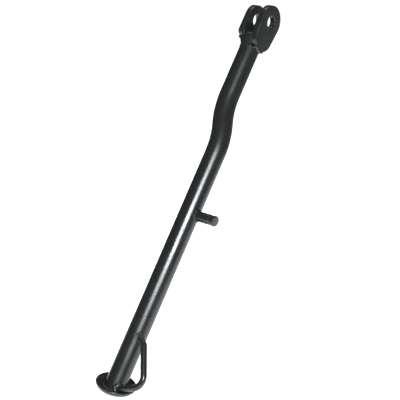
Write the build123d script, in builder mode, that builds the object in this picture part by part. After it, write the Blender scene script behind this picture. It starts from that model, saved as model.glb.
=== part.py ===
from build123d import *
import math
import os

# Motorcycle side stand, a welded steel leg shown swung down.
# Frame: origin at the middle of the pivot bore, +X forward, +Y outward along
# the pivot axis, +Z up with the motorcycle upright. Millimetres and degrees.

# Leg tube
tube_diameter = 20.0
tube_wall = 2.5
leg_rake = 35.0          # the foot is this far forward of straight down
leg_length = 375.7       # pivot to the rim of the foot, along the leg
bend_upper = 97.0        # pivot to the first corner of the set
bend_lower = 128.0       # pivot to the second corner of the set
leg_offset = 12.0        # sideways step of the lower leg, outward
bend_radius = 85.0

# Clevis head
pivot_bore = 12.2
slot_width = 11.0
ear_thickness = 6.0
ear_outer_width = 32.5
ear_outer_toe = 28.5     # width at the round lower end
ear_gap = 0.2            # lower end of the outer ear to the top of the tube
ear_inner_width = 29.0
ear_inner_end = 22.3     # pivot to the square lower end
ear_inner_corner = 5.0
slot_depth = 18.0        # pivot to the floor of the slot
head_length = 31.5       # pivot to the top of the tube
block_flare = 3.0        # the block stands this far out past the tube
neck_step = 0.5          # its lower end is this far in from the tube
neck_length = 0.6
shoulder_length = 6.6
block_edge = 3.0
spigot_length = 14.0
spigot_clearance = 0.1

# Spring peg
peg_drop = 206.0         # pivot to the peg, along the leg
peg_diameter = 10.0
peg_reach = 31.5         # tube centre to the end of the peg
peg_head = 10.2
peg_head_length = 3.4
groove_diameter = 8.4
groove_width = 2.6
peg_edge = 0.6

# Foot
foot_tilt = 9.0          # sole tilt about X that lies flat on the ground
foot_pitch = 6.0         # and about Y, front edge up
foot_ledge = 9.0         # from the side of the tube to the edge of the dish
foot_thickness = 2.5
foot_height = 5.5
foot_corner = 5.0

# Foot lever, a bent round bar in front of the tube centre
lever_diameter = 6.0
lever_forward = 5.0
lever_top = 45.2         # heights above the foot, along the leg
lever_elbow = 40.8
lever_toe_low = 2.8      # underside of the lever below its outer corner
lever_end_low = -7.3     # underside of the lever where it meets the tube
lever_elbow_out = 15.1   # distances out from the tube centre
lever_toe_out = 33.2
lever_elbow_radius = 5.5
lever_toe_radius = 10.0

# Weld beads, all given by their leg on the steel
head_bead = 1.2
ear_bead = 2.0
edge_bead = 1.8
edge_turn = 28.0         # half the arc that the outer edge weld covers
peg_bead = 1.5
foot_bead = 2.6
lever_top_bead = 1.6
lever_end_bead = 2.6
bead_stand = 0.1         # a bead's centre stands this far off its corner

tube_radius = tube_diameter / 2
block_diameter = tube_diameter + 2 * block_flare
block_neck = tube_diameter - 2 * neck_step
foot_diameter = tube_diameter + 2 * foot_ledge
rake = math.radians(leg_rake)
tilt = math.radians(foot_tilt)
pitch = math.radians(foot_pitch)
ear_face = slot_width / 2
ear_outer_reach = head_length - ear_gap - ear_outer_toe / 2
lever_radius = lever_diameter / 2
lever_end = lever_end_low + lever_radius
lever_toe = lever_toe_low + lever_radius

# Directions of the leg: up along it, and square to it on the front side.
up_leg = Vector(-math.sin(rake), 0, math.cos(rake))
leg_front = Vector(math.cos(rake), 0, math.sin(rake))
outward = Vector(0, 1, 0)
sole_up = Vector(-math.sin(pitch), math.sin(tilt), math.cos(tilt)).normalized()
sole_front = outward.cross(sole_up).normalized()

leg = Plane(origin=(0, 0, 0), x_dir=leg_front, z_dir=up_leg)
pivot_side = Plane(origin=(0, 0, 0), x_dir=leg_front, z_dir=-outward)
leg_front_view = Plane(origin=(0, 0, 0), x_dir=outward, z_dir=leg_front)

foot_centre = outward * leg_offset - up_leg * leg_length
pad_bottom = foot_centre - sole_up * foot_height
pad_top = pad_bottom + sole_up * foot_thickness
peg_centre = outward * leg_offset - up_leg * peg_drop

lower_leg = Plane(origin=foot_centre, x_dir=leg_front, z_dir=up_leg)
pad_floor = Plane(origin=pad_top, x_dir=sole_front, z_dir=sole_up)
pad_section = Plane(origin=pad_bottom, x_dir=sole_front, z_dir=sole_front.cross(sole_up))
lever_plane = Plane(
    origin=foot_centre + leg_front * lever_forward, x_dir=outward, z_dir=leg_front
)

# Outside of the straight runs of the leg, for what is shaped to the tube.
upper_core = leg.offset(-head_length) * Cylinder(
    tube_radius,
    bend_upper - head_length,
    align=(Align.CENTER, Align.CENTER, Align.MAX),
)
lower_core = lower_leg * Cylinder(
    tube_radius,
    2 * (leg_length - bend_lower - bend_radius / 2),
)

# Foot: a pressed round dish whose floor carries the tube.
foot_radius = foot_diameter / 2
inner_corner = foot_corner - foot_thickness
with BuildPart() as foot_plate:
    with BuildSketch(pad_section):
        with BuildLine():
            Line((0, 0), (foot_radius - foot_corner, 0))
            RadiusArc(
                (foot_radius - foot_corner, 0), (foot_radius, foot_corner), -foot_corner
            )
            Line((foot_radius, foot_corner), (foot_radius, foot_height))
            Line((foot_radius, foot_height), (foot_radius - foot_thickness, foot_height))
            Line(
                (foot_radius - foot_thickness, foot_height),
                (foot_radius - foot_thickness, foot_corner),
            )
            RadiusArc(
                (foot_radius - foot_thickness, foot_corner),
                (foot_radius - foot_corner, foot_thickness),
                inner_corner,
            )
            Line((foot_radius - foot_corner, foot_thickness), (0, foot_thickness))
            Line((0, foot_thickness), (0, 0))
        make_face()
    revolve(axis=Axis(tuple(pad_bottom), tuple(sole_up)))
    rim = foot_plate.faces().sort_by(Axis(tuple(pad_bottom), tuple(sole_up)))[-1]
    fillet(rim.edges(), foot_thickness / 3)
foot_plate.part.label = "foot_plate"

# Leg tube: one length of round tube with a sideways set near the top. The
# upper end is cut square, and the lower end is cut to lie on the foot.
with BuildPart() as leg_tube:
    with BuildLine(leg_front_view) as leg_path:
        FilletPolyline(
            (0, -head_length),
            (0, -bend_upper),
            (leg_offset, -bend_lower),
            (leg_offset, -leg_length - tube_diameter),
            radius=bend_radius,
        )
    with BuildSketch(leg.offset(-head_length)):
        Circle(tube_radius)
        Circle(tube_radius - tube_wall, mode=Mode.SUBTRACT)
    sweep(path=leg_path.line)
    split(bisect_by=pad_floor, keep=Keep.TOP)
    add(foot_plate.part, mode=Mode.SUBTRACT)
leg_tube.part.label = "leg_tube"

# Clevis block: a turned stub that widens upward from the tube, with a flat
# for each ear and a spigot that fits in the tube. The inner flat stops at a
# ledge. Its upper end is the floor of the slot.
with BuildPart() as clevis_block:
    with BuildSketch(pivot_side):
        with BuildLine():
            Polyline(
                (0, -head_length),
                (block_neck / 2, -head_length),
                (block_neck / 2, -head_length + neck_length),
                (block_diameter / 2, -head_length + neck_length + shoulder_length),
                (block_diameter / 2, -slot_depth),
                (0, -slot_depth),
                close=True,
            )
        make_face()
    revolve(axis=Axis((0, 0, 0), tuple(up_leg)))
    with BuildSketch(leg.offset(-slot_depth)):
        with Locations((0, ear_face + block_diameter / 2)):
            Rectangle(block_diameter + 2, block_diameter)
    extrude(amount=slot_depth - head_length, mode=Mode.SUBTRACT)
    with BuildSketch(leg.offset(-slot_depth)):
        with Locations((0, -ear_face - block_diameter / 2)):
            Rectangle(block_diameter + 2, block_diameter)
    extrude(amount=slot_depth - ear_inner_end, mode=Mode.SUBTRACT)
    slot_floor = clevis_block.faces().sort_by(Axis((0, 0, 0), tuple(up_leg)))[-1]
    fillet(slot_floor.edges().filter_by(GeomType.CIRCLE), block_edge)
    with BuildSketch(leg.offset(-head_length)):
        Circle(tube_radius - tube_wall - spigot_clearance)
    extrude(amount=-spigot_length)
    chamfer(clevis_block.edges().group_by(Axis((0, 0, 0), tuple(up_leg)))[0], 1.0)
clevis_block.part.label = "clevis_block"

# Outer ear: flat plate with a wide round top, the pivot bore, and a narrower
# round lower end.
with BuildPart() as clevis_ear_outer:
    with BuildSketch(pivot_side.offset(-ear_face)):
        Circle(ear_outer_width / 2)
        with Locations((0, -ear_outer_reach)):
            Circle(ear_outer_toe / 2)
        make_hull()
        Circle(pivot_bore / 2, mode=Mode.SUBTRACT)
    extrude(amount=-ear_thickness)
    chamfer(clevis_ear_outer.edges().filter_by(GeomType.CIRCLE).filter_by(
        lambda edge: edge.radius < ear_outer_toe / 4), 0.5)
clevis_ear_outer.part.label = "clevis_ear_outer"

# Inner ear: flat plate with a round top and a square lower end that stands on
# the ledge of the block.
with BuildPart() as clevis_ear_inner:
    with BuildSketch(pivot_side.offset(ear_face)):
        Circle(ear_inner_width / 2)
        with Locations((0, -ear_inner_end / 2)):
            Rectangle(ear_inner_width, ear_inner_end)
    extrude(amount=ear_thickness)
    fillet(
        clevis_ear_inner.edges().filter_by(Axis.Y).group_by(Axis((0, 0, 0), tuple(up_leg)))[0],
        ear_inner_corner,
    )
    with BuildSketch(pivot_side.offset(ear_face)):
        Circle(pivot_bore / 2)
    extrude(amount=ear_thickness, mode=Mode.SUBTRACT)
    chamfer(clevis_ear_inner.edges().filter_by(GeomType.CIRCLE).filter_by(
        lambda edge: abs(edge.radius - pivot_bore / 2) < 0.01), 0.5)
clevis_ear_inner.part.label = "clevis_ear_inner"

# Spring peg: turned pin, parallel to the pivot, with a groove for the spring
# eye and a short head. Its root is shaped to the round of the tube.
with BuildPart() as spring_peg:
    with BuildSketch(Plane(origin=peg_centre, x_dir=outward, z_dir=leg_front)):
        with BuildLine():
            Polyline(
                (0, 0),
                (0, peg_diameter / 2),
                (peg_reach - peg_head_length - groove_width - 0.6, peg_diameter / 2),
                (peg_reach - peg_head_length - groove_width, groove_diameter / 2),
                (peg_reach - peg_head_length - 0.3, groove_diameter / 2),
                (peg_reach - peg_head_length, peg_head / 2),
                (peg_reach - peg_edge, peg_head / 2),
                (peg_reach, peg_head / 2 - peg_edge),
                (peg_reach, 0),
                close=True,
            )
        make_face()
    revolve(axis=Axis(tuple(peg_centre), tuple(outward)))
    add(lower_core, mode=Mode.SUBTRACT)
spring_peg.part.label = "spring_peg"

# Foot lever: round bar bent to a loop in a plane in front of the tube centre.
# Both ends run on to the tube and are shaped to its round.
lever_root = math.sqrt(tube_radius**2 - lever_forward**2)
with BuildPart() as foot_lever:
    with BuildLine(lever_plane) as lever_path:
        FilletPolyline(
            (lever_root - lever_radius, lever_top + lever_radius / 2),
            (lever_elbow_out, lever_elbow),
            (lever_toe_out, lever_toe),
            (lever_root - lever_radius, lever_end - lever_radius / 2),
            radius=(lever_elbow_radius, lever_toe_radius),
        )
    with BuildSketch(Plane(origin=lever_path.line @ 0, z_dir=lever_path.line % 0)):
        Circle(lever_radius)
    sweep(path=lever_path.line)
    add(lower_core, mode=Mode.SUBTRACT)
foot_lever.part.label = "foot_lever"

# Outer edge weld: from the round lower end of the outer ear to the side of
# the tube.
with BuildPart() as weld_edge_outer:
    with BuildLine(pivot_side.offset(-tube_radius - bead_stand)) as outer_edge:
        CenterArc(
            (0, -ear_outer_reach),
            ear_outer_toe / 2 + bead_stand,
            -90 - edge_turn,
            2 * edge_turn,
        )
    with BuildSketch(Plane(origin=outer_edge.line @ 0, z_dir=outer_edge.line % 0)):
        Circle(edge_bead)
    sweep(path=outer_edge.line)
    add(upper_core, mode=Mode.SUBTRACT)
    add(clevis_block.part, mode=Mode.SUBTRACT)
    add(clevis_ear_outer.part, mode=Mode.SUBTRACT)
weld_edge_outer.part.label = "weld_edge_outer"

# Head weld: the bead round the joint of block and tube.
with BuildPart() as weld_head:
    with BuildSketch(pivot_side):
        with Locations((tube_radius - head_bead / 2, -head_length)):
            Circle(head_bead)
    revolve(axis=Axis((0, 0, 0), tuple(up_leg)))
    add(upper_core, mode=Mode.SUBTRACT)
    add(clevis_block.part, mode=Mode.SUBTRACT)
    add(clevis_ear_outer.part, mode=Mode.SUBTRACT)
    add(weld_edge_outer.part, mode=Mode.SUBTRACT)
weld_head.part.label = "weld_head"

# Ear welds in the slot: beads in the corners between the block and the inside
# of each ear, up the front, over the floor of the slot and down the back.
flat_half = math.sqrt((block_diameter / 2) ** 2 - ear_face**2) + bead_stand
neck_half = math.sqrt((block_neck / 2) ** 2 - ear_face**2) + bead_stand
bead_floor = -slot_depth + bead_stand
neck_top = -head_length + neck_length
shoulder_top = neck_top + shoulder_length
with BuildPart() as weld_ear_outer:
    with BuildLine(pivot_side.offset(-ear_face - bead_stand)) as outer_corner:
        FilletPolyline(
            (neck_half, neck_top),
            (flat_half, shoulder_top),
            (flat_half, bead_floor),
            (-flat_half, bead_floor),
            (-flat_half, shoulder_top),
            (-neck_half, neck_top),
            radius=block_edge,
        )
    with BuildSketch(Plane(origin=outer_corner.line @ 0, z_dir=outer_corner.line % 0)):
        Circle(ear_bead)
    sweep(path=outer_corner.line)
    with BuildSketch(pivot_side.offset(-ear_face)):
        Circle(ear_outer_width / 2)
        with Locations((0, -ear_outer_reach)):
            Circle(ear_outer_toe / 2)
        make_hull()
    extrude(amount=ear_face, mode=Mode.INTERSECT)
    add(clevis_block.part, mode=Mode.SUBTRACT)
    add(weld_head.part, mode=Mode.SUBTRACT)
    add(weld_edge_outer.part, mode=Mode.SUBTRACT)
weld_ear_outer.part.label = "weld_ear_outer"

with BuildPart() as weld_ear_inner:
    with BuildLine(pivot_side.offset(ear_face + bead_stand)) as inner_corner:
        FilletPolyline(
            (flat_half, -ear_inner_end),
            (flat_half, bead_floor),
            (-flat_half, bead_floor),
            (-flat_half, -ear_inner_end),
            radius=block_edge,
        )
    with BuildSketch(Plane(origin=inner_corner.line @ 0, z_dir=inner_corner.line % 0)):
        Circle(ear_bead)
    sweep(path=inner_corner.line)
    add(clevis_block.part, mode=Mode.SUBTRACT)
    add(clevis_ear_inner.part, mode=Mode.SUBTRACT)
weld_ear_inner.part.label = "weld_ear_inner"

# Inner edge weld: along the lower edge of the inner ear, on the ledge of the
# block.
ledge_half = math.sqrt((block_diameter / 2) ** 2 - (ear_face + ear_thickness) ** 2)
with BuildPart() as weld_edge_inner:
    with BuildLine(pivot_side.offset(ear_face + ear_thickness + bead_stand)) as inner_edge:
        Line(
            (-ledge_half - ear_bead / 2, -ear_inner_end - bead_stand),
            (ledge_half + ear_bead / 2, -ear_inner_end - bead_stand),
        )
    with BuildSketch(Plane(origin=inner_edge.line @ 0, z_dir=inner_edge.line % 0)):
        Circle(ear_bead)
    sweep(path=inner_edge.line)
    add(clevis_block.part, mode=Mode.SUBTRACT)
    add(clevis_ear_inner.part, mode=Mode.SUBTRACT)
weld_edge_inner.part.label = "weld_edge_inner"

# Peg weld: the bead round the root of the peg.
with BuildPart() as weld_peg:
    with BuildSketch(Plane(origin=peg_centre, x_dir=outward, z_dir=leg_front)):
        with Locations((tube_radius - peg_bead / 5, peg_diameter / 2)):
            Circle(peg_bead)
    revolve(axis=Axis(tuple(peg_centre), tuple(outward)))
    add(lower_core, mode=Mode.SUBTRACT)
    add(spring_peg.part, mode=Mode.SUBTRACT)
weld_peg.part.label = "weld_peg"

# Foot weld: the bead round the slanting end of the tube on the dish.
lean = up_leg.dot(sole_up)
joint_centre = foot_centre - up_leg * ((foot_height - foot_thickness) / lean)
joint_long = up_leg - sole_up * lean
with BuildPart() as weld_foot:
    with BuildLine(Plane(origin=joint_centre, x_dir=joint_long, z_dir=sole_up)) as foot_joint:
        EllipticalCenterArc(
            (0, 0),
            tube_radius / lean + bead_stand,
            tube_radius + bead_stand,
            arc_size=360,
        )
    with BuildSketch(Plane(origin=foot_joint.line @ 0, z_dir=foot_joint.line % 0)):
        Circle(foot_bead)
    sweep(path=foot_joint.line)
    with BuildSketch(pad_floor):
        Circle(foot_radius - foot_thickness)
    extrude(amount=2 * foot_bead, mode=Mode.INTERSECT)
    add(lower_core, mode=Mode.SUBTRACT)
    add(foot_plate.part, mode=Mode.SUBTRACT)
    add(foot_lever.part, mode=Mode.SUBTRACT)
weld_foot.part.label = "weld_foot"

# Lever welds: the beads round the two ends of the lever on the tube.
tube_out = outward * (lever_root / tube_radius) + leg_front * (lever_forward / tube_radius)
lever_seat = foot_centre + tube_out * (tube_radius - lever_top_bead / 4)
top_run = lever_path.line % 0
end_run = lever_path.line % 1
top_slope = abs(top_run.dot(tube_out))
end_slope = abs(end_run.dot(tube_out))
with BuildPart() as weld_lever_top:
    with BuildLine(
        Plane(
            origin=lever_seat + up_leg * lever_top,
            x_dir=top_run - tube_out * top_run.dot(tube_out),
            z_dir=tube_out,
        )
    ) as top_joint:
        EllipticalCenterArc(
            (0, 0),
            lever_radius / top_slope + bead_stand,
            lever_radius + bead_stand,
            arc_size=360,
        )
    with BuildSketch(Plane(origin=top_joint.line @ 0, z_dir=top_joint.line % 0)):
        Circle(lever_top_bead)
    sweep(path=top_joint.line)
    add(lower_core, mode=Mode.SUBTRACT)
    add(foot_lever.part, mode=Mode.SUBTRACT)
weld_lever_top.part.label = "weld_lever_top"

with BuildPart() as weld_lever_end:
    with BuildLine(
        Plane(
            origin=lever_seat + up_leg * lever_end,
            x_dir=end_run - tube_out * end_run.dot(tube_out),
            z_dir=tube_out,
        )
    ) as end_joint:
        EllipticalCenterArc(
            (0, 0),
            lever_radius / end_slope + bead_stand,
            lever_radius + bead_stand,
            arc_size=360,
        )
    with BuildSketch(Plane(origin=end_joint.line @ 0, z_dir=end_joint.line % 0)):
        Circle(lever_end_bead)
    sweep(path=end_joint.line)
    add(lower_core, mode=Mode.SUBTRACT)
    add(foot_lever.part, mode=Mode.SUBTRACT)
    add(foot_plate.part, mode=Mode.SUBTRACT)
    add(weld_foot.part, mode=Mode.SUBTRACT)
weld_lever_end.part.label = "weld_lever_end"

pieces = (
    leg_tube,
    clevis_block,
    clevis_ear_outer,
    clevis_ear_inner,
    spring_peg,
    foot_plate,
    foot_lever,
    weld_head,
    weld_ear_outer,
    weld_ear_inner,
    weld_edge_outer,
    weld_edge_inner,
    weld_peg,
    weld_foot,
    weld_lever_top,
    weld_lever_end,
)
os.makedirs("parts", exist_ok=True)
for piece in pieces:
    export_step(piece.part, f"parts/{piece.part.label}.step")
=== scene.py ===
import math
import random

import bpy
from mathutils import Matrix, Quaternion, Vector


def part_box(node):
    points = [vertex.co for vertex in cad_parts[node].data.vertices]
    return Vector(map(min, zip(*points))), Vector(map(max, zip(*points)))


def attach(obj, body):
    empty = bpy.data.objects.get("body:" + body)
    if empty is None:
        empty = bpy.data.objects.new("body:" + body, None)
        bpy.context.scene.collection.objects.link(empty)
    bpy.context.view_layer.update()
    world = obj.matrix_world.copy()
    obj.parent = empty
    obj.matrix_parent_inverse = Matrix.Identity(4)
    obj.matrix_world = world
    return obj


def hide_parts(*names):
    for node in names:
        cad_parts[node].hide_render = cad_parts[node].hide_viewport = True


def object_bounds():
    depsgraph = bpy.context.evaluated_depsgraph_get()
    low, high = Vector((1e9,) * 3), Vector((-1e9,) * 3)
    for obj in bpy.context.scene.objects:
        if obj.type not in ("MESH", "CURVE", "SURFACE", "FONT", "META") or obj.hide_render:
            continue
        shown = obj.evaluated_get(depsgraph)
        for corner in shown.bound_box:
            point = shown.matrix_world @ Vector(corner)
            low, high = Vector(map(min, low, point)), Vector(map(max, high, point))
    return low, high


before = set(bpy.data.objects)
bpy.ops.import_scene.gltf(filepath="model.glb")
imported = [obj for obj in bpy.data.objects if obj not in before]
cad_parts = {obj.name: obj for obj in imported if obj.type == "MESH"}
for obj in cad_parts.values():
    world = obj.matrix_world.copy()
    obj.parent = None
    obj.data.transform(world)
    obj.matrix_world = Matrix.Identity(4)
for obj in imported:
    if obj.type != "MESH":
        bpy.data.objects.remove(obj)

cad_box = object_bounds()

# ---------------------------------------------------------------------------
# Camera. It stands in front of the stand, on its outer side and a little above
# it, and leans slightly to one side, as a hand-held camera does.
# ---------------------------------------------------------------------------
camera_place = Vector((0.8203, 0.5568, 0.1395))
camera_aim = Vector((0.0642, -0.0171, -0.1748))
camera_lean = math.radians(2.68)

camera_data = bpy.data.cameras.new("camera")
camera_data.lens = 90.0
camera_data.sensor_width = 36.0
camera = bpy.data.objects.new("camera", camera_data)
bpy.context.scene.collection.objects.link(camera)
camera.location = camera_place
level_turn = (camera_aim - camera_place).to_track_quat("-Z", "Y")
camera.rotation_mode = "QUATERNION"
camera.rotation_quaternion = level_turn @ Quaternion((0, 0, 1), camera_lean)
bpy.context.scene.camera = camera
bpy.context.scene.view_settings.view_transform = "Standard"

# ---------------------------------------------------------------------------
# Floor. A wide sheet of matt white paper, lying just under the foot.
# ---------------------------------------------------------------------------
def srgb(code):
    """Turns a hex colour, as a screen shows it, to the linear colour a shader takes."""
    parts = [int(code[i:i + 2], 16) / 255 for i in (1, 3, 5)]
    line = [p / 12.92 if p <= 0.04045 else ((p + 0.055) / 1.055) ** 2.4 for p in parts]
    return (*line, 1.0)


def add_node(tree, kind, inputs=None, **settings):
    """Adds one node. Each input is given a value, or linked to a socket."""
    node = tree.nodes.new(kind)
    for name, value in settings.items():
        setattr(node, name, value)
    for name, value in (inputs or {}).items():
        if isinstance(value, bpy.types.NodeSocket):
            tree.links.new(value, node.inputs[name])
        else:
            node.inputs[name].default_value = value
    return node


floor_level = cad_box[0].z - 0.0002
bpy.ops.object.select_all(action="DESELECT")
bpy.ops.mesh.primitive_plane_add(size=12.0, location=(0, 0, floor_level))
floor = bpy.context.object
floor.name = "paper_floor"
floor.visible_glossy = False

paper = bpy.data.materials.new("matt_white_paper")
paper.use_nodes = True
tree = paper.node_tree
shader = tree.nodes["Principled BSDF"]
shader.inputs["Roughness"].default_value = 0.95
shader.inputs["Specular IOR Level"].default_value = 0.1
place = add_node(tree, "ShaderNodeTexCoord")
fibre = add_node(tree, "ShaderNodeTexNoise", {"Vector": place.outputs["Object"], "Scale": 900.0})
tint = add_node(tree, "ShaderNodeValToRGB", {"Fac": fibre.outputs["Fac"]})
tint.color_ramp.elements[0].color = srgb("#f4f4f2")
tint.color_ramp.elements[1].color = srgb("#fbfbfa")
tree.links.new(tint.outputs["Color"], shader.inputs["Base Color"])
shader.inputs["Emission Color"].default_value = (1, 1, 1, 1)
shader.inputs["Emission Strength"].default_value = 1.0
floor.data.materials.append(paper)

# The enamel mirrors only the near part of the sheet. It is a plane of its own,
# which the camera does not see.
bpy.ops.object.select_all(action="DESELECT")
bpy.ops.mesh.primitive_plane_add(size=1.8, location=(0.45, 0.25, floor_level + 0.0001))
near_paper = bpy.context.object
near_paper.name = "near_paper"
near_paper.visible_camera = False
near_paper.visible_diffuse = False
near_paper.visible_shadow = False
near_paper.data.materials.append(paper)

# ---------------------------------------------------------------------------
# Light. A wide low softbox over the camera lays one stripe down the leg, and a
# weak one hangs above. The room is dark, but for a pale wall behind the stand.
# ---------------------------------------------------------------------------
middle = (cad_box[0] + cad_box[1]) / 2
leg_rake = math.radians(35.0)
leg_up = Vector((-math.sin(leg_rake), 0.0, math.cos(leg_rake)))


def softbox(name, direction, distance, width, height, power, upright=(0, 0, 1)):
    """An area light that faces the middle of the stand from one direction."""
    data = bpy.data.lights.new(name, "AREA")
    data.shape = "RECTANGLE"
    data.size = width
    data.size_y = height
    data.energy = power
    data.color = srgb("#f1f6ff")[:3]
    lamp = bpy.data.objects.new(name, data)
    bpy.context.scene.collection.objects.link(lamp)
    towards = Vector(direction).normalized()
    across = Vector(upright).cross(towards).normalized()
    turn = Matrix((across, towards.cross(across), towards)).transposed().to_4x4()
    lamp.matrix_world = Matrix.Translation(middle + towards * distance) @ turn


softbox("key_softbox", (0.592, 0.571, 0.562), 1.5, 0.80, 0.15, 35.5, upright=leg_up)
softbox("top_softbox", (-0.3, -0.2, 1.0), 1.8, 1.2, 1.2, 9.0)

world = bpy.data.worlds.new("studio_walls")
bpy.context.scene.world = world
world.use_nodes = True
tree = world.node_tree
around = add_node(tree, "ShaderNodeTexCoord")
side = add_node(tree, "ShaderNodeVectorMath",
                {0: around.outputs["Generated"], 1: (-0.90, 0.10, -0.42)},
                operation="DOT_PRODUCT")
wall = add_node(tree, "ShaderNodeMapRange",
                {"Value": side.outputs["Value"], "From Min": 0.55, "From Max": 1.0,
                 "To Min": 0.06, "To Max": 0.3},
                interpolation_type="SMOOTHSTEP")
background = tree.nodes["Background"]
background.inputs["Color"].default_value = srgb("#f3f7ff")
# Seen directly, the walls are as white as the paper.
ray = add_node(tree, "ShaderNodeLightPath")
seen = add_node(tree, "ShaderNodeMath",
                {0: wall.outputs["Result"], 1: ray.outputs["Is Camera Ray"]},
                operation="MAXIMUM")
tree.links.new(seen.outputs["Value"], background.inputs["Strength"])


def enamelled_steel(name, steel, steel_depth, colour=("#1a1c19", "#21231f"), gloss=(0.2, 0.26)):
    """Semi-gloss black enamel, sprayed and baked on steel: near black, with a slight
    orange peel, cloudy gloss, and fine dust nibs. steel draws the metal below it."""
    enamel = bpy.data.materials.new(name)
    enamel.use_nodes = True
    tree = enamel.node_tree
    shader = tree.nodes["Principled BSDF"]
    shader.inputs["IOR"].default_value = 1.5
    place = add_node(tree, "ShaderNodeTexCoord").outputs["Object"]
    cloud = add_node(tree, "ShaderNodeTexNoise", {"Vector": place, "Scale": 45.0, "Detail": 3.0})
    grain = add_node(tree, "ShaderNodeTexNoise", {"Vector": place, "Scale": 1400.0, "Detail": 2.0})
    tint = add_node(tree, "ShaderNodeMix",
                    {0: cloud.outputs["Fac"], 6: srgb(colour[0]), 7: srgb(colour[1])},
                    data_type="RGBA")
    # Dust nibs about 0.4 mm across, a few to the square centimetre.
    nib = add_node(tree, "ShaderNodeTexVoronoi", {"Vector": place, "Scale": 330.0})
    nib_spot = add_node(tree, "ShaderNodeMapRange",
                        {"Value": nib.outputs["Distance"], "From Min": 0.05, "From Max": 0.16,
                         "To Min": 1.0, "To Max": 0.0})
    nib_few = add_node(tree, "ShaderNodeMath",
                       {0: nib.outputs["Color"], 1: 0.93}, operation="GREATER_THAN")
    nibs = add_node(tree, "ShaderNodeMath",
                    {0: nib_spot.outputs["Result"], 1: nib_few.outputs["Value"]},
                    operation="MULTIPLY")
    dusty = add_node(tree, "ShaderNodeMix",
                     {0: nibs.outputs["Value"], 6: tint.outputs[2], 7: srgb("#4a4a46")},
                     data_type="RGBA")
    tree.links.new(dusty.outputs[2], shader.inputs["Base Color"])
    rough = add_node(tree, "ShaderNodeMapRange",
                     {"Value": cloud.outputs["Fac"], "From Min": 0.3, "From Max": 0.7,
                      "To Min": gloss[0], "To Max": gloss[1]})
    rougher = add_node(tree, "ShaderNodeMath",
                       {0: grain.outputs["Fac"], 1: 0.06, 2: rough.outputs["Result"]},
                       operation="MULTIPLY_ADD")
    tree.links.new(rougher.outputs["Value"], shader.inputs["Roughness"])
    # Orange peel: dimples 1.6 mm apart and a few microns deep.
    peel = add_node(tree, "ShaderNodeTexNoise", {"Vector": place, "Scale": 620.0, "Detail": 1.0})
    under = steel(tree, place)
    metal = add_node(tree, "ShaderNodeBump",
                     {"Height": under, "Distance": steel_depth, "Strength": 1.0})
    peeled = add_node(tree, "ShaderNodeBump",
                      {"Height": peel.outputs["Fac"], "Distance": 0.000012,
                       "Normal": metal.outputs["Normal"]})
    nibbed = add_node(tree, "ShaderNodeBump",
                      {"Height": nibs.outputs["Value"], "Distance": 0.00006,
                       "Normal": peeled.outputs["Normal"]})
    tree.links.new(nibbed.outputs["Normal"], shader.inputs["Normal"])
    return enamel


def drawn_lines(tree, place):
    """Faint lines along the tube, left by the drawing die, 0.8 mm apart."""
    turned = add_node(tree, "ShaderNodeMapping",
                      {"Vector": place, "Rotation": (0, leg_rake, 0),
                       "Scale": (1200.0, 1200.0, 25.0)})
    lines = add_node(tree, "ShaderNodeTexNoise", {"Vector": turned.outputs["Vector"], "Scale": 1.0})
    return lines.outputs["Fac"]


tube_enamel = enamelled_steel("enamelled_drawn_tube", drawn_lines, 0.00001)
leg_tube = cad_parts["leg_tube"]
leg_tube.data.materials.clear()
leg_tube.data.materials.append(tube_enamel)

# ---------------------------------------------------------------------------
# Clevis block. A turned steel stub with a flat milled for each ear, its edges
# eased before welding, enamelled with the rest.
# ---------------------------------------------------------------------------
def copied_steel(node, name):
    """A copy of a steel piece as one joined surface, selected and active."""
    bpy.ops.object.select_all(action="DESELECT")
    piece = bpy.data.objects.new(name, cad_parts[node].data.copy())
    bpy.context.scene.collection.objects.link(piece)
    piece.select_set(True)
    bpy.context.view_layer.objects.active = piece
    piece.data.materials.clear()
    bpy.ops.object.mode_set(mode="EDIT")
    bpy.ops.mesh.select_all(action="SELECT")
    bpy.ops.mesh.remove_doubles(threshold=0.000002)
    bpy.ops.object.mode_set(mode="OBJECT")
    return piece


def put_in_place(piece, node, enamel):
    """Gives a finished piece its enamel and its place in the frame."""
    piece.data.materials.append(enamel)
    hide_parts(node)
    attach(piece, "root")


def eased_edges(node, name, radius, enamel):
    """A steel piece whose sharp edges are rounded, as a linisher and the paint leave them."""
    piece = copied_steel(node, name)
    bpy.ops.object.mode_set(mode="EDIT")
    bpy.ops.mesh.select_all(action="SELECT")
    bpy.ops.mesh.dissolve_limited(angle_limit=math.radians(0.6))
    bpy.ops.object.mode_set(mode="OBJECT")
    ease = piece.modifiers.new("eased edge", "BEVEL")
    ease.width = radius
    ease.segments = 3
    ease.limit_method = "ANGLE"
    ease.angle_limit = math.radians(40)
    bpy.ops.object.modifier_apply(modifier=ease.name)
    bpy.ops.object.shade_smooth_by_angle(angle=math.radians(32))
    put_in_place(piece, node, enamel)


def turned_rings(tree, place):
    """Fine rings left by the turning tool, 0.25 mm apart, seen through the enamel."""
    turned = add_node(tree, "ShaderNodeMapping",
                      {"Vector": place, "Rotation": (0, leg_rake, 0),
                       "Scale": (60.0, 60.0, 4000.0)})
    rings = add_node(tree, "ShaderNodeTexNoise", {"Vector": turned.outputs["Vector"], "Scale": 1.0})
    return rings.outputs["Fac"]


turned_enamel = enamelled_steel("enamelled_turned_steel", turned_rings, 0.000006)
eased_edges("clevis_block", "head_block", 0.0006, turned_enamel)

# ---------------------------------------------------------------------------
# Clevis ears. Two flat blanks sawn from 6 mm plate, bored together, with their
# edges linished round.
# ---------------------------------------------------------------------------
def rolled_skin(tree, place):
    """The shallow pits and waves of hot-rolled plate, 2 mm apart."""
    skin = add_node(tree, "ShaderNodeTexNoise", {"Vector": place, "Scale": 500.0, "Detail": 3.0})
    return skin.outputs["Fac"]


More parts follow.
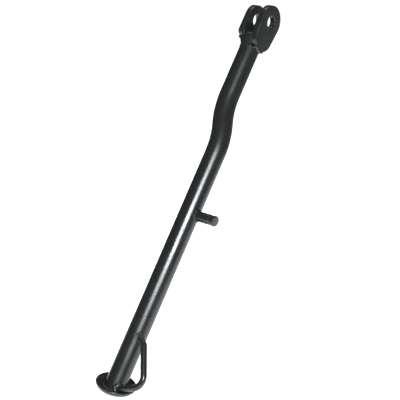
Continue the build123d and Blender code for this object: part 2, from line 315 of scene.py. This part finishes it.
plate_enamel = enamelled_steel("enamelled_plate", rolled_skin, 0.00001)
eased_edges("clevis_ear_outer", "ear_outer", 0.0005, plate_enamel)
eased_edges("clevis_ear_inner", "ear_inner", 0.0005, plate_enamel)

# ---------------------------------------------------------------------------
# Spring peg. A steel pin cut from drawn bar, with a turned groove for the eye of
# the spring and a short head, its end edge broken.
# ---------------------------------------------------------------------------
peg_enamel = enamelled_steel("enamelled_peg", rolled_skin, 0.00001)
eased_edges("spring_peg", "peg", 0.0003, peg_enamel)

# ---------------------------------------------------------------------------
# Foot and foot lever. A dish pressed from 2.5 mm sheet, and a 6 mm round bar
# bent cold to a loop. Both keep the mill skin below the enamel.
# ---------------------------------------------------------------------------
foot_enamel = enamelled_steel("enamelled_pressed_sheet", rolled_skin, 0.00002, gloss=(0.2, 0.28))
foot_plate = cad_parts["foot_plate"]
foot_plate.data.materials.clear()
foot_plate.data.materials.append(foot_enamel)
bar_enamel = enamelled_steel("enamelled_bent_bar", rolled_skin, 0.000012, gloss=(0.2, 0.28))
foot_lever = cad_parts["foot_lever"]
foot_lever.data.materials.clear()
foot_lever.data.materials.append(bar_enamel)

# ---------------------------------------------------------------------------
# Weld beads. Each is laid by hand, one puddle after the other, so it is a row
# of overlapping round ripples, and the enamel lies thick and glossy on it.
# ---------------------------------------------------------------------------
def spatter(tree, place):
    """Small uneven lumps in the weld metal, 0.7 mm apart."""
    lumps = add_node(tree, "ShaderNodeTexNoise", {"Vector": place, "Scale": 1400.0, "Detail": 1.0})
    return lumps.outputs["Fac"]


weld_enamel = enamelled_steel("enamelled_weld_metal", spatter, 0.00002, gloss=(0.08, 0.14))
bead_mesh = 0.0003           # edge length of the bead's mesh
ripple_pitch = 0.0015        # how far the torch moves between two puddles
ripple_depth = 0.00035
uneven_step = 0.048          # share of a pitch that a puddle may be off by
shallow, deep = 0.75, 1.25   # shares of the depth between two puddles
arch = 0.35                  # how far a ripple's middle runs ahead of its ends, in pitches


def hand_laid_bead(node, name, axis, radius):
    """A weld bead with its ripples, which follow one another round an axis."""
    piece = copied_steel(node, name)
    fine = piece.modifiers.new("even mesh", "REMESH")
    fine.mode = "VOXEL"
    fine.voxel_size = bead_mesh
    bpy.ops.object.modifier_apply(modifier=fine.name)
    middle_of_bead = sum(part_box(node), Vector()) / 2
    axis = Vector(axis).normalized()
    start = axis.orthogonal().normalized()
    side_way = axis.cross(start)
    count = max(3, round(2 * math.pi * radius / ripple_pitch))
    dice = random.Random(node)
    jitter = [dice.uniform(-uneven_step, uneven_step) for _ in range(count + 1)]
    lift = [dice.uniform(shallow, deep) for _ in range(count + 1)]
    mesh = piece.data
    for vertex in mesh.vertices:
        out = vertex.co - middle_of_bead
        along = (math.atan2(out.dot(side_way), out.dot(start)) / math.tau + 0.5) * count
        along += arch * math.cos(out.dot(axis) / ripple_pitch)
        puddle = int(along) % count
        phase = (along - int(along)) + jitter[puddle]
        hollow = 1.0 - abs(math.sin(math.pi * phase))
        vertex.co -= vertex.normal * (ripple_depth * lift[puddle] * hollow * hollow)
    calm = piece.modifiers.new("molten edges", "SMOOTH")
    calm.factor = 0.5
    calm.iterations = 2
    bpy.ops.object.modifier_apply(modifier=calm.name)
    bpy.ops.object.shade_smooth()
    put_in_place(piece, node, weld_enamel)


across = (0.0, 1.0, 0.0)
off_tube_at_lever = (0.41, 0.866, 0.287)
hand_laid_bead("weld_head", "bead_head", leg_up, 0.0105)
hand_laid_bead("weld_ear_outer", "bead_ear_outer", across, 0.011)
hand_laid_bead("weld_ear_inner", "bead_ear_inner", across, 0.010)
hand_laid_bead("weld_edge_outer", "bead_edge_outer", leg_up, 0.010)
hand_laid_bead("weld_edge_inner", "bead_edge_inner", leg_up, 0.008)
hand_laid_bead("weld_peg", "bead_peg", across, 0.006)
hand_laid_bead("weld_foot", "bead_foot", leg_up, 0.0115)
hand_laid_bead("weld_lever_top", "bead_lever_top", off_tube_at_lever, 0.004)
hand_laid_bead("weld_lever_end", "bead_lever_end", off_tube_at_lever, 0.0045)
